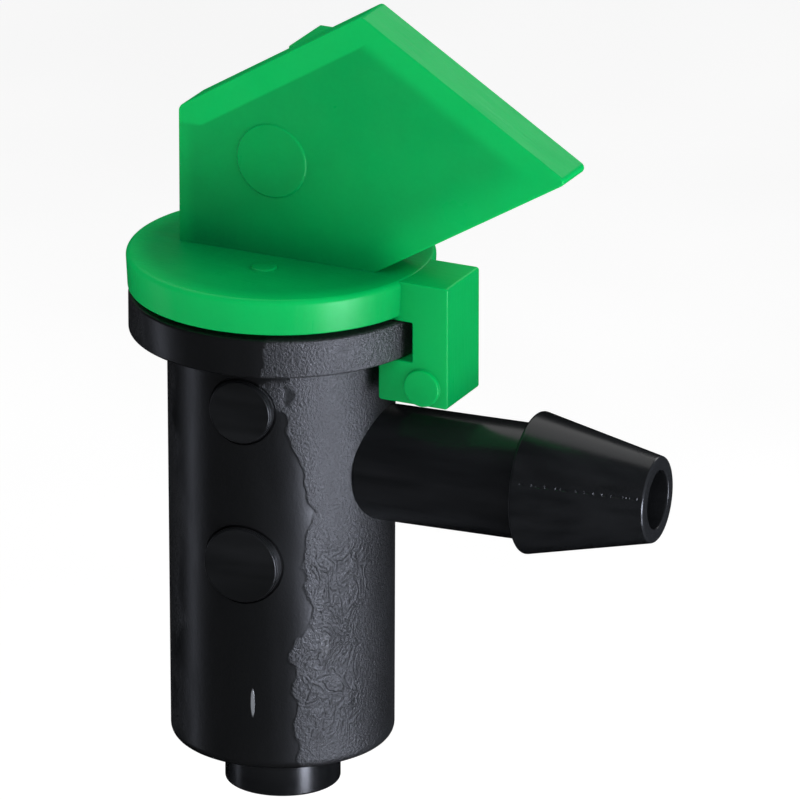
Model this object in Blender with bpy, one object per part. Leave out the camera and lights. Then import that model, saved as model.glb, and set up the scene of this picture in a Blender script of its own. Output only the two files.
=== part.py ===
"""Take-apart drip emitter with a barbed inlet and a turning flag cap.

Frame: metres, +Z up along the barrel, +X out along the inlet barb. The origin is where the
inlet's axis crosses the barrel's axis.

The real emitter is two mouldings, a black body and a green cap. Each moulding is built here from
its functional members, which meet at the edges where one shape ends and the next begins:

    body  barrel, barrel_flange, inlet_barb, outlet_spout
    cap   cap_disc, flag_blade, flag_rib, latch_clip, plug_land, labyrinth_core

The cap turns about the barrel's axis. Its members hang on the empty cap_axis.
"""
import math

import bmesh
import bpy

MM = 0.001

# ---------------------------------------------------------------- driving dimensions
JOINT_GAP = 0.01 * MM           # between two members of one moulding
RUN_GAP = 0.05 * MM             # radial, between the turning plug and the barrel's bore

CAP_TURN_AT_REST = math.radians(-4.0)

DISC_TOP_Z = 8.20 * MM          # the face that the flag stands on
DISC_RADIUS = 6.00 * MM
DISC_FOOT_RADIUS = 5.93 * MM    # mould draft
DISC_FILLET = 0.25 * MM
DISC_THICKNESS = 1.44 * MM
SHOULDER_RADIUS = 5.00 * MM     # ring under the disc that sits on the flange

FLANGE_TOP_Z = DISC_TOP_Z - 1.66 * MM
FLANGE_BOTTOM_Z = DISC_TOP_Z - 3.20 * MM
FLANGE_RADIUS = 5.91 * MM
FLANGE_EDGE = 0.08 * MM

BARREL_TOP_RADIUS = 4.43 * MM
BARREL_FOOT_RADIUS = 4.37 * MM  # mould draft
BARREL_FOOT_Z = DISC_TOP_Z - 20.02 * MM
BARREL_FILLET = 0.40 * MM
BORE_RADIUS = 3.40 * MM
FLOOR_THICKNESS = 0.90 * MM
PORT_RADIUS = 1.15 * MM         # water way through the barb, the wall, the floor and the spout

SPOUT_RADIUS = 2.26 * MM
SPOUT_END_Z = DISC_TOP_Z - 21.95 * MM
SPOUT_EDGE = 0.10 * MM

STEM_RADIUS = 2.27 * MM
RIDGE_X = 10.42 * MM            # back face of the barb's ridge
RIDGE_RADIUS = 2.81 * MM
RIDGE_EDGE = 0.14 * MM
TIP_X = 15.58 * MM
TIP_RADIUS = 1.68 * MM
TIP_EDGE = 0.12 * MM

PAD_HEIGHT = 0.15 * MM
PAD_X = 0.10 * MM
UPPER_PAD_Z = DISC_TOP_Z - 5.20 * MM
UPPER_PAD_RADIUS = 1.25 * MM
LOWER_PAD_Z = DISC_TOP_Z - 11.50 * MM
LOWER_PAD_RADIUS = 1.50 * MM

FLAG_HALF_THICKNESS = 0.975 * MM
FLAG_LEFT_X = -3.91 * MM
FLAG_EAVE_Z = DISC_TOP_Z + 5.49 * MM
FLAG_APEX = (3.89 * MM, DISC_TOP_Z + 10.25 * MM)
FLAG_TIP = (12.62 * MM, DISC_TOP_Z + 4.87 * MM)
FLAG_HEEL_X = 4.50 * MM         # where the slanted lower edge meets the disc
FLAG_EAVE_RADIUS = 0.35 * MM
FLAG_POINT_RADIUS = 0.22 * MM
FLAG_PAD_Z = DISC_TOP_Z + 3.87 * MM
FLAG_PAD_RADIUS = 1.48 * MM

RIB_LEFT_X = 0.0
RIB_WIDTH = 2.00 * MM
RIB_TOP_Z = DISC_TOP_Z + 8.02 * MM
RIB_BACK_Y = 3.45 * MM
RIB_CORNER = 0.08 * MM

CLIP_OUTER_X = 7.78 * MM
CLIP_HALF_WIDTH = 1.43 * MM
CLIP_TOP_Z = DISC_TOP_Z - 0.05 * MM
CLIP_SLOT_X = 6.28 * MM
CLIP_SLOT_GAP = 0.03 * MM       # above and below the flange
CLIP_FOOT_X = 4.85 * MM         # inner end of the foot, under the flange
CLIP_FOOT_Z = DISC_TOP_Z - 4.95 * MM
CLIP_CORNER = 0.12 * MM
CLIP_PAD_X = 6.72 * MM
CLIP_PAD_Z = DISC_TOP_Z - 4.20 * MM
CLIP_PAD_RADIUS = 0.74 * MM

NUB_X = 0.40 * MM
NUB_Y = -2.30 * MM
NUB_RADIUS = 0.52 * MM
NUB_HEIGHT = 0.08 * MM

LAND_FOOT_Z = 1.90 * MM         # sealing land ends above the inlet port
CORE_RADIUS = 2.35 * MM
GALLERY_RADIUS = 2.20 * MM      # ring channel level with the inlet port
THREAD_TOP_Z = -1.60 * MM
THREAD_PITCH = 1.50 * MM
THREAD_TURNS = 5
THREAD_ROOT = 0.95 * MM         # axial width of the rib at its root
THREAD_CREST = 0.55 * MM        # axial width of the rib at its crest
CORE_FOOT_Z = -10.50 * MM

BIG_STEPS = 72                  # facets round the barrel, the flange and the disc
SMALL_STEPS = 48                # facets round the barb, the spout, the plug and the pads
FILLET_STEPS = 5

BLACK = (0.012, 0.013, 0.015, 1.0)
GREEN = (0.0, 0.30, 0.075, 1.0)


# ---------------------------------------------------------------- scene and material helpers
def clear_scene():
    for obj in list(bpy.data.objects):
        bpy.data.objects.remove(obj, do_unlink=True)


def plastic(name, colour, roughness):
    material = bpy.data.materials.new(name)
    material.use_nodes = True
    shader = material.node_tree.nodes["Principled BSDF"]
    shader.inputs["Base Color"].default_value = colour
    shader.inputs["Roughness"].default_value = roughness
    shader.inputs["Metallic"].default_value = 0.0
    return material


def new_object(name, bm, material=None, parent=None):
    mesh = bpy.data.meshes.new(name)
    bmesh.ops.recalc_face_normals(bm, faces=bm.faces)
    bm.to_mesh(mesh)
    bm.free()
    mesh.shade_smooth()
    mesh.set_sharp_from_angle(angle=math.radians(30))
    obj = bpy.data.objects.new(name, mesh)
    bpy.context.collection.objects.link(obj)
    if material is not None:
        mesh.materials.append(material)
    obj.parent = parent
    return obj


def as_cutter(obj):
    obj.hide_render = True
    obj.display_type = "WIRE"
    return obj


def boolean(target, tool, operation):
    modifier = target.modifiers.new(tool.name, "BOOLEAN")
    modifier.operation = operation
    modifier.solver = "EXACT"
    modifier.object = tool


# ---------------------------------------------------------------- shape helpers
def arc(centre, radius, start_deg, end_deg, steps=FILLET_STEPS):
    """Points on an arc of a profile, both ends included."""
    points = []
    for i in range(steps + 1):
        angle = math.radians(start_deg + (end_deg - start_deg) * i / steps)
        x = centre[0] + radius * math.cos(angle)
        y = centre[1] + radius * math.sin(angle)
        points.append((x, y))
    return points


def turned(profile, steps, axis="Z"):
    """Turn a closed profile of (radius, height) points about an axis.

    A point at radius 0 becomes one vertex. The profile runs down its outer side.
    """
    bm = bmesh.new()
    rings = []
    for radius, height in profile:
        ring = []
        count = steps if radius > 0 else 1
        for i in range(count):
            angle = 2 * math.pi * i / steps
            across = radius * math.cos(angle)
            along = radius * math.sin(angle)
            place = (across, along, height) if axis == "Z" else (height, across, along)
            ring.append(bm.verts.new(place))
        rings.append(ring)
    for upper, lower in zip(rings, rings[1:] + rings[:1]):
        if len(upper) == 1 and len(lower) == 1:
            continue
        for i in range(steps):
            j = (i + 1) % steps
            corners = [upper[i % len(upper)], upper[j % len(upper)]]
            corners += [lower[j % len(lower)], lower[i % len(lower)]]
            bm.faces.new(list(dict.fromkeys(corners)))
    return bm


def rounded_outline(corners, steps=4):
    """Round each corner of a closed outline. A corner is (x, z, radius)."""
    outline = []
    count = len(corners)
    for i, (x, z, radius) in enumerate(corners):
        if radius <= 0:
            outline.append((x, z))
            continue
        before = corners[i - 1]
        after = corners[(i + 1) % count]
        angle_in = math.atan2(before[1] - z, before[0] - x)
        angle_out = math.atan2(after[1] - z, after[0] - x)
        half = ((angle_out - angle_in + math.pi) % (2 * math.pi) - math.pi) / 2
        middle = angle_in + half
        reach = radius / abs(math.sin(half))
        centre = (x + reach * math.cos(middle), z + reach * math.sin(middle))
        sweep = math.copysign(math.pi / 2 - abs(half), half)
        start = math.degrees(middle + math.pi - sweep)
        end = math.degrees(middle + math.pi + sweep)
        points = arc(centre, radius, end, start, steps)
        nearest_first = math.dist(points[0], before[:2]) < math.dist(points[-1], before[:2])
        outline += points if nearest_first else points[::-1]
    return outline


def slab(outline, front_y, back_y):
    """A closed XZ outline made thick along Y."""
    bm = bmesh.new()
    front = [bm.verts.new((x, front_y, z)) for x, z in outline]
    back = [bm.verts.new((x, back_y, z)) for x, z in outline]
    bm.faces.new(front)
    bm.faces.new(back[::-1])
    count = len(outline)
    for i in range(count):
        j = (i + 1) % count
        bm.faces.new((front[j], front[i], back[i], back[j]))
    return bm


def round_pad(name, x, z, radius, face_y, root_y, parent=None):
    """A round raised pad on a front face, as a tool to join to that face."""
    edge = 0.04 * MM
    depth = root_y - face_y
    outline = [(0, 0), (radius - edge, 0), (radius, -edge), (radius, -depth), (0, -depth)]
    bm = turned(outline, SMALL_STEPS)
    pad = new_object(name, bm, parent=parent)
    pad.rotation_euler = (math.pi / 2, 0, 0)
    pad.location = (x, face_y, z)
    return as_cutter(pad)


# ---------------------------------------------------------------- body moulding
def build_barrel(material):
    floor_z = BARREL_FOOT_Z + FLOOR_THICKNESS
    fillet_centre = (BARREL_FOOT_RADIUS - BARREL_FILLET, BARREL_FOOT_Z + BARREL_FILLET)
    profile = [(BORE_RADIUS, FLANGE_TOP_Z), (BARREL_TOP_RADIUS, FLANGE_TOP_Z)]
    profile += arc(fillet_centre, BARREL_FILLET, 0, -90)
    profile += [(PORT_RADIUS, BARREL_FOOT_Z), (PORT_RADIUS, floor_z), (BORE_RADIUS, floor_z)]
    barrel = new_object("barrel", turned(profile, BIG_STEPS), material)

    port = turned([(0, 0), (PORT_RADIUS, 0), (PORT_RADIUS, 2 * BORE_RADIUS), (0, 2 * BORE_RADIUS)],
                  SMALL_STEPS, axis="X")
    boolean(barrel, as_cutter(new_object("barrel_port_cutter", port)), "DIFFERENCE")

    face_y = -BARREL_TOP_RADIUS - PAD_HEIGHT
    root_y = -(BARREL_TOP_RADIUS + BORE_RADIUS) / 2
    upper_pad = round_pad("upper_pad_tool", PAD_X, UPPER_PAD_Z, UPPER_PAD_RADIUS, face_y, root_y)
    boolean(barrel, upper_pad, "UNION")
    lower_pad = round_pad("lower_pad_tool", PAD_X, LOWER_PAD_Z, LOWER_PAD_RADIUS, face_y, root_y)
    boolean(barrel, lower_pad, "UNION")
    return barrel


def build_flange(material):
    inner = BARREL_TOP_RADIUS + JOINT_GAP
    edge = FLANGE_EDGE
    profile = [(inner, FLANGE_TOP_Z)]
    profile += arc((FLANGE_RADIUS - edge, FLANGE_TOP_Z - edge), edge, 90, 0, 2)
    profile += arc((FLANGE_RADIUS - edge, FLANGE_BOTTOM_Z + edge), edge, 0, -90, 2)
    profile += [(inner, FLANGE_BOTTOM_Z)]
    return new_object("barrel_flange", turned(profile, BIG_STEPS), material)


def build_inlet_barb(material):
    """Stem, ridge and long nose with an open bore, cut to sit on the round barrel."""
    root_x = BORE_RADIUS
    edge = RIDGE_EDGE
    outer = [(STEM_RADIUS, root_x), (STEM_RADIUS, RIDGE_X - 0.05 * MM)]
    outer += arc((RIDGE_RADIUS - edge, RIDGE_X + edge), edge, -90, 15, 4)
    outer += arc((TIP_RADIUS - TIP_EDGE, TIP_X - TIP_EDGE), TIP_EDGE, 15, 90, 3)
    profile = outer + [(PORT_RADIUS, TIP_X), (PORT_RADIUS, root_x)]
    barb = new_object("inlet_barb", turned(profile, SMALL_STEPS, axis="X"), material)

    # The cutter is the barrel's outer cone with its facets' gap added, so the saddle stays clear.
    wall_top = BARREL_TOP_RADIUS + JOINT_GAP
    wall_foot = BARREL_FOOT_RADIUS + JOINT_GAP
    cone = [(0, FLANGE_TOP_Z), (wall_top, FLANGE_TOP_Z)]
    cone += [(wall_foot, BARREL_FOOT_Z), (0, BARREL_FOOT_Z)]
    saddle = as_cutter(new_object("barb_saddle_cutter", turned(cone, BIG_STEPS)))
    boolean(barb, saddle, "DIFFERENCE")
    return barb


def build_outlet_spout(material):
    top_z = BARREL_FOOT_Z - JOINT_GAP
    edge = SPOUT_EDGE
    profile = [(PORT_RADIUS, top_z), (SPOUT_RADIUS, top_z)]
    profile += arc((SPOUT_RADIUS - edge, SPOUT_END_Z + edge), edge, 0, -90, 3)
    profile += [(PORT_RADIUS, SPOUT_END_Z)]
    return new_object("outlet_spout", turned(profile, SMALL_STEPS), material)


# ---------------------------------------------------------------- cap moulding
def disc_profile(grow=0.0):
    """The disc with the ring under it. grow enlarges it all round, for use as a cutter."""
    fillet = DISC_FILLET
    top_z = DISC_TOP_Z + grow
    under_z = DISC_TOP_Z - DISC_THICKNESS - grow
    seat_z = FLANGE_TOP_Z + CLIP_SLOT_GAP - grow
    profile = [(0, top_z)]
    profile += arc((DISC_RADIUS - fillet, DISC_TOP_Z - fillet), fillet + grow, 90, 0)
    profile += [(DISC_FOOT_RADIUS + grow, under_z), (SHOULDER_RADIUS + grow, under_z)]
    profile += [(SHOULDER_RADIUS + grow, seat_z), (0, seat_z)]
    return profile


def build_cap_disc(material, axis):
    disc = new_object("cap_disc", turned(disc_profile(), BIG_STEPS), material, axis)
    nub_top = DISC_TOP_Z + NUB_HEIGHT
    nub_root = DISC_TOP_Z - DISC_THICKNESS / 2
    edge = NUB_HEIGHT / 2
    profile = [(0, nub_top), (NUB_RADIUS - edge, nub_top), (NUB_RADIUS, nub_top - edge)]
    profile += [(NUB_RADIUS, nub_root), (0, nub_root)]
    nub = new_object("disc_nub_tool", turned(profile, SMALL_STEPS // 2), parent=axis)
    nub.location = (NUB_X, NUB_Y, 0)
    boolean(disc, as_cutter(nub), "UNION")
    return disc


def build_flag_blade(material, axis):
    foot_z = DISC_TOP_Z + JOINT_GAP
    corners = [
        (FLAG_LEFT_X, foot_z, 0),
        (FLAG_LEFT_X, FLAG_EAVE_Z, FLAG_EAVE_RADIUS),
        (*FLAG_APEX, FLAG_POINT_RADIUS),
        (*FLAG_TIP, FLAG_POINT_RADIUS),
        (FLAG_HEEL_X, foot_z, 0),
    ]
    blade_mesh = slab(rounded_outline(corners), -FLAG_HALF_THICKNESS, FLAG_HALF_THICKNESS)
    blade = new_object("flag_blade", blade_mesh, material, axis)
    face_y = -FLAG_HALF_THICKNESS - PAD_HEIGHT / 2
    pad = round_pad("flag_pad_tool", PAD_X, FLAG_PAD_Z, FLAG_PAD_RADIUS, face_y, 0, axis)
    boolean(blade, pad, "UNION")
    return blade


def build_flag_rib(material, axis):
    """Gusset behind the blade that stiffens it for turning by hand."""
    left = RIB_LEFT_X
    right = RIB_LEFT_X + RIB_WIDTH
    foot_z = DISC_TOP_Z + JOINT_GAP
    outline = rounded_outline([
        (left, foot_z, 0),
        (left, RIB_TOP_Z, RIB_CORNER),
        (right, RIB_TOP_Z, RIB_CORNER),
        (right, foot_z, 0),
    ])
    rib_mesh = slab(outline, FLAG_HALF_THICKNESS + JOINT_GAP, RIB_BACK_Y)
    return new_object("flag_rib", rib_mesh, material, axis)


def build_latch_clip(material, axis):
    """C-shaped hook from the disc's edge down round the flange."""
    slot_top = FLANGE_TOP_Z + CLIP_SLOT_GAP
    slot_foot = FLANGE_BOTTOM_Z - CLIP_SLOT_GAP
    inner_x = SHOULDER_RADIUS + 2 * JOINT_GAP
    corners = [
        (inner_x, CLIP_TOP_Z, 0),
        (inner_x, slot_top, 0),
        (CLIP_SLOT_X, slot_top, 0),
        (CLIP_SLOT_X, slot_foot, 0),
        (CLIP_FOOT_X, slot_foot, 0),
        (CLIP_FOOT_X, CLIP_FOOT_Z, CLIP_CORNER),
        (CLIP_OUTER_X, CLIP_FOOT_Z, CLIP_CORNER),
        (CLIP_OUTER_X, CLIP_TOP_Z, CLIP_CORNER),
    ]
    clip_mesh = slab(rounded_outline(corners), -CLIP_HALF_WIDTH, CLIP_HALF_WIDTH)
    clip = new_object("latch_clip", clip_mesh, material, axis)
    face_y = -CLIP_HALF_WIDTH - PAD_HEIGHT
    pad = round_pad("clip_pad_tool", CLIP_PAD_X, CLIP_PAD_Z, CLIP_PAD_RADIUS, face_y, 0, axis)
    boolean(clip, pad, "UNION")
    disc = new_object("clip_disc_cutter", turned(disc_profile(JOINT_GAP), BIG_STEPS), parent=axis)
    boolean(clip, as_cutter(disc), "DIFFERENCE")
    return clip


def build_plug_land(material, axis):
    """Plain upper part of the plug, which seals the barrel's mouth."""
    top_z = FLANGE_TOP_Z + CLIP_SLOT_GAP - JOINT_GAP
    radius = BORE_RADIUS - RUN_GAP
    chamfer = 0.25 * MM
    profile = [(0, top_z), (radius, top_z), (radius, LAND_FOOT_Z + chamfer)]
    profile += [(radius - chamfer, LAND_FOOT_Z), (0, LAND_FOOT_Z)]
    return new_object("plug_land", turned(profile, SMALL_STEPS), material, axis)


def thread_rib():
    """Rib that winds round the core: its section follows a helix, closed at both ends."""
    bm = bmesh.new()
    inner = CORE_RADIUS - 0.2 * MM
    outer = BORE_RADIUS - RUN_GAP
    section = [(inner, THREAD_ROOT / 2), (outer, THREAD_CREST / 2), (outer, -THREAD_CREST / 2)]
    section += [(inner, -THREAD_ROOT / 2)]
    loops = []
    for i in range(THREAD_TURNS * SMALL_STEPS + 1):
        angle = 2 * math.pi * i / SMALL_STEPS
        centre_z = THREAD_TOP_Z - THREAD_ROOT - THREAD_PITCH * i / SMALL_STEPS
        loop = []
        for radius, height in section:
            x = radius * math.cos(angle)
            y = radius * math.sin(angle)
            loop.append(bm.verts.new((x, y, centre_z + height)))
        loops.append(loop)
    for here, there in zip(loops, loops[1:]):
        for i in range(4):
            j = (i + 1) % 4
            bm.faces.new((here[i], here[j], there[j], there[i]))
    bm.faces.new(loops[0][::-1])
    bm.faces.new(loops[-1])
    return bm


def build_labyrinth_core(material, axis):
    """Lower plug: a ring channel at the inlet port, then a long winding channel."""
    gallery_top = LAND_FOOT_Z - JOINT_GAP
    chamfer = 0.3 * MM
    profile = [(0, gallery_top), (GALLERY_RADIUS, gallery_top), (GALLERY_RADIUS, THREAD_TOP_Z)]
    profile += [(CORE_RADIUS, THREAD_TOP_Z - 0.15 * MM), (CORE_RADIUS, CORE_FOOT_Z + chamfer)]
    profile += [(CORE_RADIUS - chamfer, CORE_FOOT_Z), (0, CORE_FOOT_Z)]
    core = new_object("labyrinth_core", turned(profile, SMALL_STEPS), material, axis)
    rib = as_cutter(new_object("thread_rib_tool", thread_rib(), parent=axis))
    boolean(core, rib, "UNION")
    return core


def main():
    clear_scene()
    black_matte = plastic("black_matte", BLACK, 0.55)
    black_gloss = plastic("black_gloss", BLACK, 0.22)
    green = plastic("green_translucent", GREEN, 0.35)

    build_barrel(black_matte)
    build_flange(black_matte)
    build_inlet_barb(black_gloss)
    build_outlet_spout(black_gloss)

    axis = bpy.data.objects.new("cap_axis", None)
    bpy.context.collection.objects.link(axis)
    axis.rotation_euler = (0, 0, CAP_TURN_AT_REST)
    build_cap_disc(green, axis)
    build_flag_blade(green, axis)
    build_flag_rib(green, axis)
    build_latch_clip(green, axis)
    build_plug_land(green, axis)
    build_labyrinth_core(green, axis)


main()
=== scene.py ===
"""Looks for the take-apart drip emitter: rounded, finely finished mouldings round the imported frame.

Lengths are in millimetres, in the frame's axes: +Z up the barrel, +X out along the barb, and the
origin where the two axes cross. mesh_object() turns them into metres. Pieces of the cap are made in
the cap's own axes, which stand CAP_TURN round from the frame's.
"""
import math

import bmesh
import bpy
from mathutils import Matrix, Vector


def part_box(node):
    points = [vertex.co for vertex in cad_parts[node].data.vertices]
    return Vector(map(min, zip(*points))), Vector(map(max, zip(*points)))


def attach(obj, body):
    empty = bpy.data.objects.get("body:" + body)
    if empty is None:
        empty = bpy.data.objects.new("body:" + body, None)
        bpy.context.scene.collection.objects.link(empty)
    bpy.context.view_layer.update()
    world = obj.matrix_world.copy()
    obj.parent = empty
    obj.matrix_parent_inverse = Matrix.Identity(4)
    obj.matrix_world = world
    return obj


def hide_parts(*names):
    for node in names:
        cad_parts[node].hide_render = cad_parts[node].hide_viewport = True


MM = 0.001

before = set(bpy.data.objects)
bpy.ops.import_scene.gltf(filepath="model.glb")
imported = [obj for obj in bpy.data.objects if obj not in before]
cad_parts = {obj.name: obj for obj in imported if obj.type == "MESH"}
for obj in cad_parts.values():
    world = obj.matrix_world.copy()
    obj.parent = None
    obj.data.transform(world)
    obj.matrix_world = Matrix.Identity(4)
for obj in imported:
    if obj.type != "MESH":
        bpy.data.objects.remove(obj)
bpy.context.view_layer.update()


def box_mm(node):
    """Lowest and highest corner of a node of the frame, in millimetres."""
    low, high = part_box(node)
    return low / MM, high / MM


# ---------------------------------------------------------------- sizes, from the frame
CAP_TURN = math.radians(-4.0)

BLADE_LOW = box_mm("flag_blade")[0]
DISC_HIGH = box_mm("cap_disc")[1]
FLANGE_LOW, FLANGE_HIGH = box_mm("barrel_flange")
BARREL_LOW, BARREL_HIGH = box_mm("barrel")
SPOUT_LOW, SPOUT_HIGH = box_mm("outlet_spout")
BARB_HIGH = box_mm("inlet_barb")[1]
RIB_HIGH = box_mm("flag_rib")[1]
CLIP_LOW = box_mm("latch_clip")[0]

MEMBER_GAP = 0.01   # between two members of one moulding in the CAD
RUN_GAP = 0.03      # above and below the flange, inside the cap

DISC_TOP = BLADE_LOW.z - MEMBER_GAP
DISC_R = DISC_HIGH.x
DISC_THICKNESS = 1.44
DISC_UNDER = DISC_TOP - DISC_THICKNESS
SHOULDER_R = 5.0
FLANGE_R = FLANGE_HIGH.x
FLANGE_TOP = FLANGE_HIGH.z
FLANGE_FOOT = FLANGE_LOW.z
BARREL_R = BARREL_HIGH.x
BARREL_FOOT_R = BARREL_R - 0.06     # mould draft
FLOOR_THICKNESS = 0.9
BARREL_FOOT = BARREL_LOW.z
BORE_R = 3.40
PORT_R = 1.15
SPOUT_R = SPOUT_HIGH.x
SPOUT_END = SPOUT_LOW.z
STEM_R = 2.27
RIDGE_X = 10.42
RIDGE_R = BARB_HIGH.z
TIP_X = BARB_HIGH.x
TIP_R = 1.68

FLAG_FRONT = 0.975
FLAG_LEFT = -3.91
FLAG_EAVE = DISC_TOP + 5.49
FLAG_APEX = Vector((3.89, DISC_TOP + 10.25))
FLAG_TIP = Vector((12.62, DISC_TOP + 4.87))
FLAG_HEEL = Vector((4.50, DISC_TOP))
FLAG_PAD = (0.10, DISC_TOP + 3.87, 1.48)    # x, z and radius

RIB_LEFT = 0.0
RIB_RIGHT = 2.0
RIB_BACK = 3.45
RIB_TOP = RIB_HIGH.z

CLIP_OUTER = 7.78
CLIP_HALF = 1.43
CLIP_FOOT_X = 4.85
CLIP_SLOT_X = 6.28
CLIP_FOOT = CLIP_LOW.z
CLIP_PAD = (6.72, DISC_TOP - 4.20, 0.74)    # x, z and radius

FLAG_PAD_RISE = 0.075
NUB = (0.40, -2.30, 0.52, 0.08)     # x, y, radius and height
PAD_RISE = 0.15
PADS = (("upper", 0.10, DISC_TOP - 5.20, 1.25), ("lower", 0.10, DISC_TOP - 11.50, 1.50))

SUNK = 0.3          # how far a member of a moulding runs on into the one it grows from

FLOOR_DROP = 160    # the emitter hangs by its barb in use, so the floor is well below it

ROUND = 160         # facets round the large turned pieces
ROUND_SMALL = 112   # facets round the barb, the spout and the pads


# ---------------------------------------------------------------- shape helpers
def arc(centre, radius, start_deg, end_deg, steps):
    """Points on an arc, both ends included."""
    points = []
    for i in range(steps + 1):
        angle = math.radians(start_deg + (end_deg - start_deg) * i / steps)
        across = centre[0] + radius * math.cos(angle)
        along = centre[1] + radius * math.sin(angle)
        points.append((across, along))
    return points


def rounded(corners, steps=6):
    """A closed outline of (a, b, radius) corners, each rounded to its radius."""
    outline = []
    for i, (a, b, radius) in enumerate(corners):
        here = Vector((a, b))
        if radius <= 0:
            outline.append((a, b))
            continue
        to_before = (Vector(corners[i - 1][:2]) - here).normalized()
        to_after = (Vector(corners[(i + 1) % len(corners)][:2]) - here).normalized()
        half = math.acos(max(-1.0, min(1.0, to_before.dot(to_after)))) / 2
        centre = here + (to_before + to_after).normalized() * (radius / math.sin(half))
        start = here + to_before * (radius / math.tan(half)) - centre
        end = here + to_after * (radius / math.tan(half)) - centre
        turn = math.atan2(start.x * end.y - start.y * end.x, start.dot(end))
        begin = math.atan2(start.y, start.x)
        for k in range(steps + 1):
            angle = begin + turn * k / steps
            a_out = centre.x + radius * math.cos(angle)
            b_out = centre.y + radius * math.sin(angle)
            outline.append((a_out, b_out))
    return outline


def mesh_object(name, bm, sharp_deg=35):
    bmesh.ops.scale(bm, vec=(MM, MM, MM), verts=bm.verts)
    bmesh.ops.recalc_face_normals(bm, faces=bm.faces)
    mesh = bpy.data.meshes.new(name)
    bm.to_mesh(mesh)
    bm.free()
    mesh.shade_smooth()
    mesh.set_sharp_from_angle(angle=math.radians(sharp_deg))
    obj = bpy.data.objects.new(name, mesh)
    bpy.context.scene.collection.objects.link(obj)
    return obj


def turned(name, outline, steps=ROUND, axis="Z", centre=(0, 0, 0), sharp_deg=35):
    """A closed (radius, along) outline turned about an axis through centre."""
    bm = bmesh.new()
    rings = []
    for radius, along in outline:
        ring = []
        for i in range(steps if radius > 1e-6 else 1):
            angle = 2 * math.pi * i / steps
            p, q = radius * math.cos(angle), radius * math.sin(angle)
            place = {"Z": (p, q, along), "X": (along, p, q), "Y": (p, -along, q)}[axis]
            ring.append(bm.verts.new(Vector(place) + Vector(centre)))
        rings.append(ring)
    for upper, lower in zip(rings, rings[1:] + rings[:1]):
        if len(upper) == 1 and len(lower) == 1:
            continue
        for i in range(steps):
            j = (i + 1) % steps
            corners = [upper[i % len(upper)], upper[j % len(upper)]]
            corners += [lower[j % len(lower)], lower[i % len(lower)]]
            bm.faces.new(list(dict.fromkeys(corners)))
    return mesh_object(name, bm, sharp_deg)


def slab(name, outline, front_y, back_y, edge, segments=4):
    """A closed (x, z) outline made thick along Y, with its rims rounded by a Bevel modifier."""
    bm = bmesh.new()
    front = [bm.verts.new((x, front_y, z)) for x, z in outline]
    back = [bm.verts.new((x, back_y, z)) for x, z in outline]
    bm.faces.new(front)
    bm.faces.new(back[::-1])
    for i in range(len(outline)):
        j = (i + 1) % len(outline)
        bm.faces.new((front[j], front[i], back[i], back[j]))
    obj = mesh_object(name, bm)
    bevel = obj.modifiers.new("rounded_rims", "BEVEL")
    bevel.width = edge * MM
    bevel.segments = segments
    bevel.limit_method = "ANGLE"
    bevel.angle_limit = math.radians(35)
    bevel.harden_normals = True
    return obj


def raised_pad(name, x, z, radius, face_y, rise, sink):
    """A low round pad on a front face: crisp rim, tiny foot fillet, sunk into what it stands on."""
    outline = [(0, rise), (radius - 0.10, rise)]
    outline += arc((radius - 0.06, rise - 0.06), 0.06, 90, 10, 5)
    outline += [(radius, 0.02), (radius + 0.03, 0.0), (radius + 0.03, -sink), (0, -sink)]
    return turned(name, outline, ROUND_SMALL, "Y", (x, face_y, z))


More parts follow.
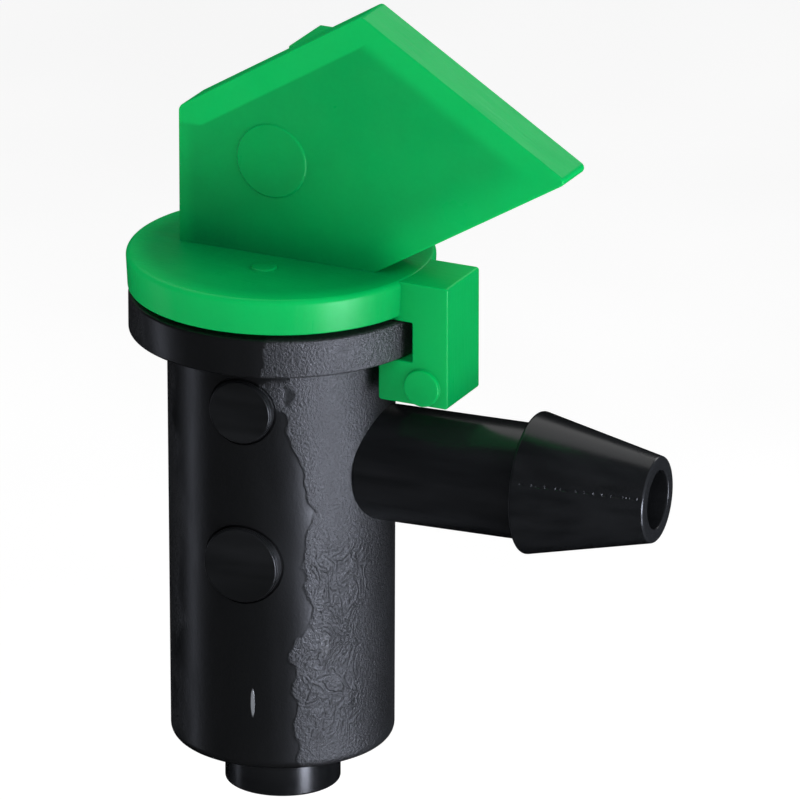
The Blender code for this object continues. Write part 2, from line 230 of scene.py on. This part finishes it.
# ---------------------------------------------------------------- node helpers
class Nodes:
    """Short calls for building one material's node tree. Coordinates are in millimetres."""

    def __init__(self, name):
        self.material = bpy.data.materials.new(name)
        self.material.use_nodes = True
        self.tree = self.material.node_tree
        self.shader = self.tree.nodes["Principled BSDF"]
        where = self.tree.nodes.new("ShaderNodeTexCoord").outputs["Object"]
        scaled = self.add("ShaderNodeVectorMath", operation="SCALE")
        self.tree.links.new(where, scaled.inputs[0])
        scaled.inputs["Scale"].default_value = 1 / MM
        self.place = scaled.outputs[0]
        split = self.add("ShaderNodeSeparateXYZ")
        self.tree.links.new(self.place, split.inputs[0])
        self.x, self.y, self.z = split.outputs

    def add(self, kind, **settings):
        node = self.tree.nodes.new(kind)
        for name, value in settings.items():
            setattr(node, name, value)
        return node

    def feed(self, socket, value):
        if isinstance(value, bpy.types.NodeSocket):
            self.tree.links.new(value, socket)
        else:
            socket.default_value = value

    def total(self, *values):
        """Sum of two or more values."""
        result = values[0]
        for value in values[1:]:
            result = self.math("ADD", result, value)
        return result

    def product(self, a, b):
        return self.math("MULTIPLY", a, b)

    def squares(self, a, b):
        """a squared plus b squared."""
        return self.total(self.product(a, a), self.product(b, b))

    def math(self, operation, a, b=0.0):
        node = self.add("ShaderNodeMath", operation=operation)
        self.feed(node.inputs[0], a)
        self.feed(node.inputs[1], b)
        return node.outputs[0]

    def ramp(self, value, start, end, low=0.0, high=1.0):
        """Smooth step from low to high as value goes from start to end."""
        node = self.add("ShaderNodeMapRange", interpolation_type="SMOOTHSTEP")
        for socket, setting in zip(node.inputs, (value, start, end, low, high)):
            self.feed(socket, setting)
        return node.outputs[0]

    def stretched(self, scale):
        node = self.add("ShaderNodeVectorMath", operation="MULTIPLY")
        self.feed(node.inputs[0], self.place)
        node.inputs[1].default_value = scale
        return node.outputs[0]

    def noise(self, scale, detail=2.0, roughness=0.5, where=None, distortion=0.0):
        node = self.add("ShaderNodeTexNoise")
        self.feed(node.inputs["Vector"], self.place if where is None else where)
        node.inputs["Scale"].default_value = scale
        node.inputs["Detail"].default_value = detail
        node.inputs["Roughness"].default_value = roughness
        node.inputs["Distortion"].default_value = distortion
        return node.outputs["Fac"]

    def ring(self, x_centre, z_centre, radius):
        """1 on a thin circle seen from the front, 0 elsewhere and on the back half."""
        from_x = self.math("SUBTRACT", self.x, x_centre)
        from_z = self.math("SUBTRACT", self.z, z_centre)
        away = self.math("SQRT", self.squares(from_x, from_z))
        off = self.math("ABSOLUTE", self.math("SUBTRACT", away, radius))
        in_front = self.ramp(self.y, -1.0, 0.0, 1.0, 0.0)
        return self.product(self.ramp(off, 0.02, 0.08, 1.0, 0.0), in_front)

    def spot(self, a, a_centre, a_reach, b, b_centre, b_reach):
        """1 inside a small soft-edged oval in two coordinates, 0 outside it."""
        from_a = self.math("DIVIDE", self.math("SUBTRACT", a, a_centre), a_reach)
        from_b = self.math("DIVIDE", self.math("SUBTRACT", b, b_centre), b_reach)
        return self.ramp(self.squares(from_a, from_b), 0.6, 1.1, 1.0, 0.0)

    def colour(self, factor, low, high):
        """Mix of two colours, each given as (r, g, b) or as another node's output."""
        node = self.add("ShaderNodeMix", data_type="RGBA")
        self.feed(node.inputs["Factor"], factor)
        for name, value in (("A", low), ("B", high)):
            self.feed(node.inputs[name], (*value, 1) if isinstance(value, tuple) else value)
        return node.outputs["Result"]

    def bump(self, height, depth, before=None):
        """Bump of the given depth in millimetres for a height from 0 to 1."""
        node = self.add("ShaderNodeBump")
        node.inputs["Distance"].default_value = depth * MM
        self.feed(node.inputs["Height"], height)
        if before is not None:
            self.feed(node.inputs["Normal"], before)
        return node.outputs[0]

    def distance_inside(self, start, end, inside):
        """Distance from the line start-end in the XZ plane, positive on the side of inside."""
        along = (end - start).normalized()
        normal = Vector((-along.y, along.x))
        if normal.dot(inside - start) < 0:
            normal = -normal
        from_x = self.math("MULTIPLY", self.math("SUBTRACT", self.x, start.x), normal.x)
        from_z = self.math("MULTIPLY", self.math("SUBTRACT", self.z, start.y), normal.y)
        return self.math("ADD", from_x, from_z)


# ---------------------------------------------------------------- green plastic
# The green plastic in painted shade and in painted light.
GREEN_SHADED = (0.0, 0.092, 0.028)
GREEN_LIT = (0.0, 0.48, 0.104)


def green_plastic(name, shade):
    """Slightly translucent moulded plastic. shade(nodes) gives the painted light and shade of each
    place, 0 to 1.
    """
    n = Nodes(name)
    level = shade(n)
    cloud = n.ramp(n.noise(0.55, 3, 0.55), 0.3, 0.7, -0.025, 0.025)
    fine = n.ramp(n.noise(6.0, 2), 0.3, 0.7, -0.012, 0.012)
    level = n.total(level, cloud, fine)
    # Painted light and shade: the colour between the shaded and the lit green, with a little random
    # cloud.
    n.feed(n.shader.inputs["Base Color"], n.colour(level, GREEN_SHADED, GREEN_LIT))
    streak = n.noise(1.0, 3, 0.6, n.stretched((0.5, 9.0, 0.5)))
    n.feed(n.shader.inputs["Roughness"], n.ramp(streak, 0.25, 0.75, 0.27, 0.40))
    skin = n.bump(n.noise(9.0, 3, 0.6), 0.0022)
    n.feed(n.shader.inputs["Normal"], n.bump(streak, 0.004, skin))
    n.shader.inputs["Subsurface Weight"].default_value = 0.22
    n.shader.inputs["Subsurface Radius"].default_value = (0.3, 1.0, 0.5)
    n.shader.inputs["Subsurface Scale"].default_value = 0.5 * MM
    n.shader.inputs["Specular IOR Level"].default_value = 0.13
    return n.material


def flag_shade(n):
    """Painted light and shade: painted light bands under both roof edges and along the lower edge,
    painted shade at the foot, and the face painted lighter upwards and to the right.
    """
    middle = Vector((2.0, DISC_TOP + 4.0))
    eave = Vector((FLAG_LEFT, FLAG_EAVE))
    from_left_roof = n.distance_inside(eave, FLAG_APEX, middle)
    from_right_roof = n.distance_inside(FLAG_APEX, FLAG_TIP, middle)
    from_lower_edge = n.distance_inside(FLAG_HEEL, FLAG_TIP, middle)
    height = n.math("SUBTRACT", n.z, DISC_TOP)

    up = n.ramp(height, 0.0, 6.0, 0.0, 1.0)
    across = n.ramp(n.x, -4.5, 5.5, 0.0, 1.0)
    lift = n.math("MAXIMUM", up, across)
    raised = n.total(n.product(lift, 0.6), n.product(up, 0.4))
    # Painted light: the face lighter upwards and to the right.
    body = n.ramp(raised, 0.0, 1.0, 0.28, 0.60)
    # Painted shade at the foot, next to the disc.
    foot = n.ramp(height, 0.0, 1.6, -0.16, 0.0)
    # Painted light: lighter towards the tip.
    right = n.ramp(n.x, 3.0, 11.0, 0.0, 0.10)
    # Painted glow along the lower edge, towards the tip.
    painted_edge_glow = n.ramp(from_lower_edge, 0.0, 2.0, 0.26, 0.0)
    painted_edge_glow = n.product(painted_edge_glow, n.ramp(n.x, 4.0, 6.0))
    # Painted light in a strip along the left edge.
    side = n.ramp(n.x, FLAG_LEFT + 0.15, FLAG_LEFT + 0.75, 0.14, 0.0)
    inner = n.total(body, foot, right, painted_edge_glow, side)

    # Painted light bands under both roof edges.
    left_band = n.product(n.ramp(from_left_roof, 0.98, 1.12, 1.0, 0.0), n.ramp(height, 4.75, 4.95))
    right_band = n.ramp(from_right_roof, 0.65, 1.25, 1.0, 0.0)
    band = n.math("MAXIMUM", left_band, right_band)
    keep = n.product(inner, n.math("SUBTRACT", 1.0, band))
    # Painted shade: the right roof face darker than the painted band below it.
    on_roof = n.ramp(from_right_roof, 0.01, 0.08, 0.70, 0.93)
    return n.total(keep, n.product(band, on_roof))


def disc_shade(n):
    """Painted light on the rim, the flag's painted shadow across the top near the flag, and painted
    shade towards the underside.
    """
    flat_radius = n.math("SQRT", n.squares(n.x, n.y))
    # Painted light: lighter towards the rim.
    rim = n.ramp(flat_radius, DISC_R - 1.2, DISC_R, 0.0, 0.29)
    # Painted shadow of the flag: darker close to the flag's plane.
    flag_shadow_level = n.ramp(n.math("ABSOLUTE", n.y), 1.0, 4.5, 0.34, 0.54)
    # Painted shade: darker towards the underside.
    low = n.ramp(n.z, DISC_UNDER, DISC_TOP, -0.10, 0.0)
    return n.total(rim, flag_shadow_level, low)


def clip_shade(n):
    """Painted light and shade: the front painted lighter outwards, with painted shade on the outer
    side face and at the foot.
    """
    # Painted light: the front lighter outwards.
    front = n.ramp(n.x, CLIP_FOOT_X, CLIP_OUTER, 0.60, 0.80)
    # Painted shade on the outer side face.
    side = n.ramp(n.x, CLIP_OUTER - 0.06, CLIP_OUTER - 0.01, 0.0, -0.16)
    # Painted shade at the foot.
    foot = n.ramp(n.z, CLIP_FOOT, CLIP_FOOT + 1.6, -0.14, 0.0)
    return n.total(front, side, foot)


def plain_shade(n):
    """Painted shade low on the flag's rib, lightening slowly upwards."""
    return n.ramp(n.z, DISC_TOP, DISC_TOP + 8, 0.45, 0.65)


# ---------------------------------------------------------------- black plastic
BLACK = (0.0050, 0.0056, 0.0066)
# Paler black: the texture's speckle and draw lines, and painted light on the barb's tip face.
BLACK_PALE_AND_LIT = (0.0170, 0.0185, 0.0220)
# Painted shade in the pads' grooves.
GROOVE_SHADE = (0.001, 0.001, 0.001)
# Painted glint on two small raised scratches.
SCRATCH_GLINT = (0.16, 0.17, 0.19)


def panel_edges(n, angle):
    """Where the fine texture is, from 0 to 1, and the wavy angle that its right edge follows."""
    wander = n.total(n.ramp(n.noise(0.42, 1), 0.2, 0.8, -0.17, 0.17),
                     n.ramp(n.noise(1.5, 1), 0.2, 0.8, -0.035, 0.035))
    wider_on_top = n.ramp(n.z, 1.2, 4.4, 0.0, 0.24)
    wavy = n.total(angle, wander, wider_on_top)
    right_of_panel = n.ramp(wavy, 0.50, 0.57)
    left_of_panel = n.ramp(n.total(angle, wander), -0.95, -0.60, 1.0, 0.0)
    return n.math("MAXIMUM", right_of_panel, left_of_panel), wavy


def flow_marks(n, wavy):
    """Height of the crowded swirling contour lines low on the side, under the barb."""
    swirl = n.noise(0.80, 2.5, 0.55, n.stretched((1.0, 1.0, 0.70)), 0.9)
    lines = n.ramp(n.math("SINE", n.product(swirl, 58.0)), -1.0, 1.0)
    around = n.product(n.ramp(wavy, 0.56, 0.74), n.ramp(wavy, 0.98, 1.22, 1.0, 0.0))
    along = n.product(n.ramp(n.z, -3.4, -1.8, 1.0, 0.0), n.ramp(n.z, -11.5, -9.5))
    return n.product(lines, n.product(around, along))


def pad_groove_shade(n):
    """1 in the fine groove round the foot of each raised pad, on the front; its near-black colour is
    painted shade.
    """
    groove_shade = 0.0
    for _, x, z, radius in PADS:
        groove_shade = n.math("MAXIMUM", groove_shade, n.ring(x, z, radius + 0.05))
    return groove_shade


def scratch_glints(n, angle, grain):
    """1 on two small raised scratches; their pale colour is a painted glint."""
    long_glint = n.spot(angle, 0.12, 0.019, n.z, -9.0, 0.60)
    short_glint = n.product(n.spot(angle, 0.77, 0.045, n.z, -6.7, 0.5), n.ramp(grain, 0.35, 0.55))
    return n.math("MAXIMUM", long_glint, n.product(short_glint, 0.4))


def textured_black(name):
    """Barrel finish: a smooth panel in front, and fine spark-eroded texture over the rest."""
    n = Nodes(name)
    angle = n.math("ARCTAN2", n.x, n.product(n.y, -1.0))
    texture, wavy = panel_edges(n, angle)
    grain = n.noise(9.0, 3, 0.66)
    marks = flow_marks(n, wavy)
    groove_shade = pad_groove_shade(n)
    scratch_glint = scratch_glints(n, angle, grain)

    normal = n.bump(n.product(grain, n.ramp(texture, 0.0, 1.0, 0.10, 1.0)), 0.050)
    normal = n.bump(marks, 0.020, normal)
    normal = n.bump(groove_shade, -0.070, normal)
    n.feed(n.shader.inputs["Normal"], n.bump(scratch_glint, 0.020, normal))

    speckle = n.product(texture, n.ramp(grain, 0.35, 0.65, 0.2, 1.0))
    dull = n.math("SUBTRACT", speckle, n.product(n.ramp(marks, 0.0, 0.6), 0.3))
    # Painted shade: near-black colour in the pads' grooves.
    colour = n.colour(groove_shade, n.colour(dull, BLACK, BLACK_PALE_AND_LIT), GROOVE_SHADE)
    # Painted glint: pale colour on two small scratches.
    n.feed(n.shader.inputs["Base Color"], n.colour(scratch_glint, colour, SCRATCH_GLINT))

    smear = n.ramp(n.noise(1.0, 2, 0.5, n.stretched((1.0, 1.0, 0.25))), 0.3, 0.7, -0.03, 0.03)
    roughness = n.total(n.ramp(texture, 0.0, 1.0, 0.34, 0.46), smear)
    n.feed(n.shader.inputs["Roughness"], roughness)
    n.shader.inputs["IOR"].default_value = 1.60
    return n.material


def nose_mould_line(n):
    """1 on the broken mould line along the barb's nose, on the side towards the front."""
    up_from_front = n.math("ARCTAN2", n.z, n.product(n.y, -1.0))
    off_line = n.math("ABSOLUTE", n.math("SUBTRACT", up_from_front, 0.33))
    dashes = n.ramp(n.noise(1.0, 2, 0.5, n.stretched((3.0, 0.0, 0.0))), 0.47, 0.53)
    on_nose = n.product(n.ramp(n.x, RIDGE_X + 0.4, RIDGE_X + 0.5), dashes)
    return n.product(n.ramp(off_line, 0.012, 0.030, 1.0, 0.0), on_nose)


def smooth_black(name, roughness):
    """Barb, spout and pads: smooth moulded plastic with faint draw lines, and painted light on the
    barb's tip face.
    """
    n = Nodes(name)
    lines = n.noise(1.0, 2, 0.5, n.stretched((0.25, 1.6, 1.6)))
    # Painted light: the barb's tip face painted paler.
    tip_light_paint = n.ramp(n.x, TIP_X - 0.10, TIP_X - 0.02, 0.0, 1.6)
    paleness = n.total(n.ramp(lines, 0.2, 0.8, 0.0, 0.35), tip_light_paint)
    n.feed(n.shader.inputs["Base Color"], n.colour(paleness, BLACK, BLACK_PALE_AND_LIT))
    sheen = n.ramp(lines, 0.25, 0.75, roughness - 0.02, roughness + 0.02)
    n.feed(n.shader.inputs["Roughness"], sheen)
    skin = n.bump(n.noise(3.0, 2, 0.5), 0.0012)
    n.feed(n.shader.inputs["Normal"], n.bump(nose_mould_line(n), -0.03, skin))
    n.shader.inputs["IOR"].default_value = 1.46
    return n.material


# ---------------------------------------------------------------- pieces
def fit(obj, material, body, slot, *nodes):
    """Finish a piece: its material, its body and the frame's nodes that it stands in for. slot is not
    used.
    """
    obj.data.materials.append(material)
    if body == "flag_cap":
        obj.rotation_euler = (0, 0, CAP_TURN)
    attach(obj, body)
    if nodes:
        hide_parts(*nodes)


def make_barrel(textured, smooth):
    floor = BARREL_FOOT + FLOOR_THICKNESS
    outline = rounded([
        (BORE_R, FLANGE_TOP, 0.08),
        (BARREL_R, FLANGE_TOP, 0.0),
        (BARREL_FOOT_R, BARREL_FOOT, 0.42),
        (PORT_R, BARREL_FOOT, 0.0),
        (PORT_R, floor, 0.0),
        (BORE_R, floor, 0.2),
    ], 8)
    barrel = turned("barrel_shell", outline)
    cut_round_hole(barrel, PORT_R, 3.0, 6.0)
    fit(barrel, textured, "emitter_body", "black_matte", "barrel")
    for name, x, z, radius in PADS:
        pad = raised_pad(f"barrel_pad_{name}", x, z, radius, -BARREL_R, PAD_RISE, 0.45)
        fit(pad, smooth, "emitter_body", "black_matte")


def cut_round_hole(obj, radius, from_x, to_x):
    """Cut a hole along X and apply it, so the mesh stays one closed shell."""
    tool = turned("hole_tool", [(0, from_x), (radius, from_x), (radius, to_x), (0, to_x)], 64, "X")
    cut = obj.modifiers.new("hole", "BOOLEAN")
    cut.operation = "DIFFERENCE"
    cut.solver = "EXACT"
    cut.object = tool
    bpy.context.view_layer.update()
    evaluated = obj.evaluated_get(bpy.context.evaluated_depsgraph_get())
    mesh = bpy.data.meshes.new_from_object(evaluated)
    mesh.set_sharp_from_angle(angle=math.radians(35))
    obj.modifiers.clear()
    obj.data = mesh
    bpy.data.objects.remove(tool)


def make_flange(textured):
    ring = turned("flange_ring", rounded([
        (BARREL_R - SUNK, FLANGE_TOP, 0.0),
        (FLANGE_R, FLANGE_TOP, 0.12),
        (FLANGE_R, FLANGE_FOOT, 0.10),
        (BARREL_R + 0.02, FLANGE_FOOT, 0.05),
        (BARREL_R + 0.01, FLANGE_FOOT - 0.10, 0.0),
        (BARREL_R - SUNK, FLANGE_FOOT - 0.10, 0.0),
    ], 5))
    fit(ring, textured, "emitter_body", "black_matte", "barrel_flange")


def make_barb(smooth):
    root = BARREL_R - 0.55
    outline = rounded([
        (PORT_R, root, 0.0),
        (STEM_R, root, 0.0),
        (STEM_R - 0.01, RIDGE_X, 0.05),
        (RIDGE_R, RIDGE_X + 0.02, 0.13),
        (TIP_R, TIP_X, 0.13),
        (PORT_R, TIP_X, 0.05),
    ], 6)
    tube = turned("barb_tube", outline, ROUND_SMALL, "X")
    fit(tube, smooth, "emitter_body", "black_gloss", "inlet_barb")


def make_spout(smooth):
    outline = rounded([
        (PORT_R, BARREL_FOOT + SUNK, 0.0),
        (SPOUT_R, BARREL_FOOT + SUNK, 0.0),
        (SPOUT_R, SPOUT_END, 0.10),
        (PORT_R, SPOUT_END, 0.05),
    ])
    tube = turned("spout_tube", outline, ROUND_SMALL)
    fit(tube, smooth, "emitter_body", "black_gloss", "outlet_spout")


def make_disc(green):
    outline = rounded([
        (0, DISC_TOP, 0.0),
        (DISC_R, DISC_TOP, 0.22),
        (DISC_R - 0.07, DISC_UNDER, 0.08),
        (SHOULDER_R, DISC_UNDER, 0.03),
        (SHOULDER_R, FLANGE_TOP + RUN_GAP, 0.0),
        (0, FLANGE_TOP + RUN_GAP, 0.0),
    ], 7)
    fit(turned("disc_plate", outline), green, "flag_cap", "green_cap", "cap_disc")
    x, y, radius, height = NUB
    nub = [(0, DISC_TOP + height)]
    nub += arc((radius - height, DISC_TOP), height, 90, 0, 6)
    nub += [(radius, DISC_TOP - SUNK), (0, DISC_TOP - SUNK)]
    fit(turned("disc_nub", nub, 64, centre=(x, y, 0)), green, "flag_cap", "green_cap")


def make_flag(green, green_rib):
    blade = rounded([
        (FLAG_LEFT, DISC_TOP - SUNK, 0.0),
        (FLAG_LEFT, FLAG_EAVE, 0.35),
        (*FLAG_APEX, 0.22),
        (*FLAG_TIP, 0.22),
        (*FLAG_HEEL, 0.0),
        (FLAG_HEEL.x - SUNK, DISC_TOP - SUNK, 0.0),
    ], 8)
    flag = slab("flag_plate", blade, -FLAG_FRONT, FLAG_FRONT, 0.07)
    fit(flag, green, "flag_cap", "green_cap", "flag_blade")
    x, z, radius = FLAG_PAD
    pad = raised_pad("flag_pad", x, z, radius, -FLAG_FRONT, FLAG_PAD_RISE, 0.2)
    fit(pad, green, "flag_cap", "green_cap")
    rib = rounded([
        (RIB_LEFT, DISC_TOP - SUNK, 0.0),
        (RIB_LEFT, RIB_TOP, 0.08),
        (RIB_RIGHT, RIB_TOP, 0.08),
        (RIB_RIGHT, DISC_TOP - SUNK, 0.0),
    ], 5)
    gusset = slab("flag_gusset", rib, FLAG_FRONT - SUNK, RIB_BACK, 0.08)
    fit(gusset, green_rib, "flag_cap", "green_cap", "flag_rib")


def make_clip(green):
    slot_top = FLANGE_TOP + RUN_GAP
    slot_foot = FLANGE_FOOT - RUN_GAP
    hook = rounded([
        (SHOULDER_R + 0.02, DISC_TOP - 0.03, 0.0),
        (SHOULDER_R + 0.02, slot_top, 0.0),
        (CLIP_SLOT_X, slot_top, 0.06),
        (CLIP_SLOT_X, slot_foot, 0.06),
        (CLIP_FOOT_X, slot_foot, 0.08),
        (CLIP_FOOT_X, CLIP_FOOT, 0.12),
        (CLIP_OUTER, CLIP_FOOT, 0.12),
        (CLIP_OUTER, DISC_TOP - 0.03, 0.12),
    ], 5)
    clip = slab("clip_hook", hook, -CLIP_HALF, CLIP_HALF, 0.11)
    fit(clip, green, "flag_cap", "green_cap", "latch_clip")
    x, z, radius = CLIP_PAD
    pad = raised_pad("clip_pad", x, z, radius, -CLIP_HALF, PAD_RISE, SUNK)
    fit(pad, green, "flag_cap", "green_cap")


def finish_hidden_plug(green):
    """The plug stays as the CAD made it, inside the barrel, with the cap's own plastic."""
    for name in ("plug_land", "labyrinth_core"):
        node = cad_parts[name]
        node.data.materials.clear()
        node.data.materials.append(green)


# ---------------------------------------------------------------- stage, lights and camera
WHITE_LIGHT = (1.0, 1.0, 1.0)
COOL_LIGHT = (0.88, 0.93, 1.10)    # the strips that only show as highlights


def direction(azimuth, elevation):
    """Unit vector from the object. Azimuth 0 is in front, at -Y, and 90 is at +X."""
    a, e = math.radians(azimuth), math.radians(elevation)
    return Vector((math.sin(a) * math.cos(e), -math.cos(a) * math.cos(e), math.sin(e)))


def softbox(name, azimuth, elevation, distance, width, height, power, shines=True, lights=True):
    """An area light that may show only in surfaces' gloss, or only light them."""
    data = bpy.data.lights.new(name, "AREA")
    data.shape = "RECTANGLE"
    data.size = width * MM
    data.size_y = height * MM
    data.energy = power
    data.color = WHITE_LIGHT if lights else COOL_LIGHT
    light = bpy.data.objects.new(name, data)
    bpy.context.scene.collection.objects.link(light)
    towards = direction(azimuth, elevation)
    light.location = towards * distance * MM
    light.rotation_euler = towards.to_track_quat("Z", "Y").to_euler()
    light.visible_camera = False
    light.visible_glossy = shines
    light.visible_diffuse = lights


def make_stage():
    bm = bmesh.new()
    bmesh.ops.create_grid(bm, x_segments=1, y_segments=1, size=4000)
    bmesh.ops.translate(bm, verts=bm.verts, vec=(0, 0, SPOUT_END - FLOOR_DROP))
    floor = mesh_object("floor", bm)
    n = Nodes("floor_paint")
    paint = n.ramp(n.noise(0.02, 2), 0.3, 0.7)
    n.feed(n.shader.inputs["Base Color"], n.colour(paint, (0.90, 0.90, 0.90), (0.93, 0.93, 0.93)))
    n.shader.inputs["Roughness"].default_value = 0.9
    n.shader.inputs["Specular IOR Level"].default_value = 0.1
    n.shader.inputs["Emission Color"].default_value = (1, 1, 1, 1)
    n.shader.inputs["Emission Strength"].default_value = 0.26
    floor.data.materials.append(n.material)
    floor.visible_glossy = False

    world = bpy.data.worlds.new("studio")
    bpy.context.scene.world = world
    world.use_nodes = True
    sky = world.node_tree.nodes["Background"]
    sky.inputs["Color"].default_value = (1, 1, 1, 1)
    sky.inputs["Strength"].default_value = 0.60
    world.cycles_visibility.glossy = False


def make_lights():
    softbox("side_key", 78, 12, 520, 200, 300, 1.65, shines=False)
    softbox("front_fill", 10, 35, 620, 400, 300, 1.0, shines=False)
    softbox("high_back", 214, 58, 420, 420, 360, 0.45)
    softbox("roof_glow", 168, 30, 520, 200, 130, 0.20)
    softbox("side_strip", 67, -15, 300, 120, 150, 0.11, lights=False)
    softbox("band_strip", 65, -8, 85, 38, 28, 0.074, lights=False)
    softbox("spout_strip", 67, -30, 90, 24, 14, 0.019, lights=False)
    softbox("left_strip", -80, -14, 300, 60, 150, 0.03, lights=False)


def make_camera():
    data = bpy.data.cameras.new("camera")
    data.sensor_width = 36
    data.lens = 563
    camera = bpy.data.objects.new("camera", data)
    bpy.context.scene.collection.objects.link(camera)
    azimuth, elevation, distance = 21.7, 20.6, 482.0
    towards = direction(azimuth, elevation)
    right = Vector((math.cos(math.radians(azimuth)), math.sin(math.radians(azimuth)), 0))
    up = towards.cross(right)
    aim = Vector((0, 0, DISC_TOP)) + 4.58 * right - 5.873 * up
    camera.location = (aim + towards * distance) * MM
    camera.rotation_mode = "QUATERNION"
    camera.rotation_quaternion = towards.to_track_quat("Z", "Y")
    data.clip_start = 0.01
    data.clip_end = 20
    bpy.context.scene.camera = camera
    bpy.context.scene.view_settings.view_transform = "Standard"


textured = textured_black("black_textured")
smooth_matte = smooth_black("black_smooth", 0.34)
smooth_gloss = smooth_black("black_gloss", 0.24)
# Four copies of the green plastic, each with its own painted light and shade.
green_flag = green_plastic("green_flag", flag_shade)
green_disc = green_plastic("green_disc", disc_shade)
green_clip = green_plastic("green_clip", clip_shade)
green_plain = green_plastic("green_plain", plain_shade)

make_barrel(textured, smooth_matte)
make_flange(textured)
make_barb(smooth_gloss)
make_spout(smooth_gloss)
make_disc(green_disc)
make_flag(green_flag, green_plain)
make_clip(green_clip)
finish_hidden_plug(green_plain)
make_stage()
make_lights()
make_camera()
